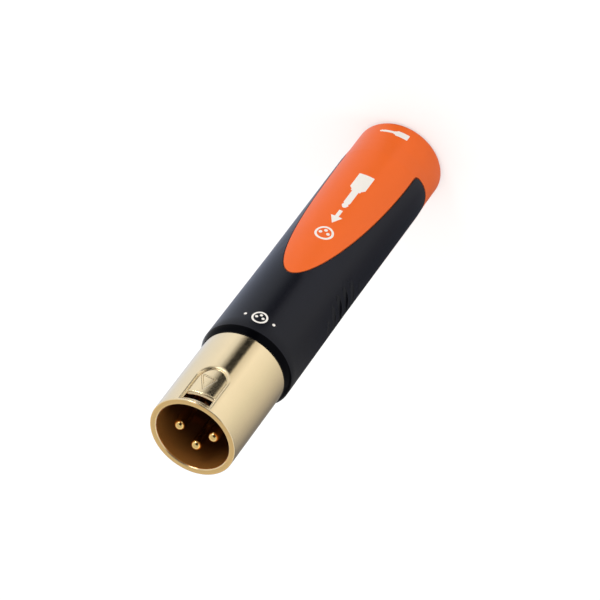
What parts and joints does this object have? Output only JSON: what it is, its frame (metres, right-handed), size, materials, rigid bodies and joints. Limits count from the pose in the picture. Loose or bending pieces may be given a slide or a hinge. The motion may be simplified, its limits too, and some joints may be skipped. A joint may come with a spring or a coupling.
{
  "type": "jack to xlr adapter",
  "caption": "Straight audio adapter: male XLR with gold shell and contact pins, black round handle, orange tongued end cap with a 6.35 mm jack socket in its end.",
  "frame": {"origin": "centre of the flat end of the cap, on the surface that the adapter stands on", "axes": "+Z along the axis, from the jack socket to the XLR mouth; -Y towards the latch window; +X towards contact 1"},
  "size_m": [0.0206, 0.0206, 0.1017],
  "materials": {
    "gold_plate": "gold-plated casting, polished",
    "contact_gold": "gold-plated turned brass",
    "insert_plastic": "moulded, black",
    "spring_steel": "bright spring steel",
    "spring_bronze": "phosphor bronze strip",
    "handle_plastic": "satin black moulding",
    "cap_plastic": "satin orange moulding",
    "nickel_plate": "bright nickel",
    "red_wire": "insulated wire, red",
    "black_wire": "insulated wire, black",
    "tinned_copper": "tinned copper wire"
  },
  "bodies": {
    "root": {"xlr_shell": "gold_plate", "xlr_insert": "insert_plastic", "pin_1": "contact_gold", "pin_2": "contact_gold", "pin_3": "contact_gold", "insert_circlip": "spring_steel", "shell_earth_spring": "spring_bronze", "handle_body": "handle_plastic", "end_cap": "cap_plastic", "jack_bush": "nickel_plate", "jack_nut": "nickel_plate", "jack_washer": "nickel_plate", "jack_frame": "insert_plastic", "jack_rear_plate": "insert_plastic", "tip_spring": "spring_bronze", "sleeve_spring": "spring_bronze", "hot_wire": "red_wire", "earth_wire": "black_wire", "pin_link_wire": "tinned_copper"}
  },
  "joints": []
}
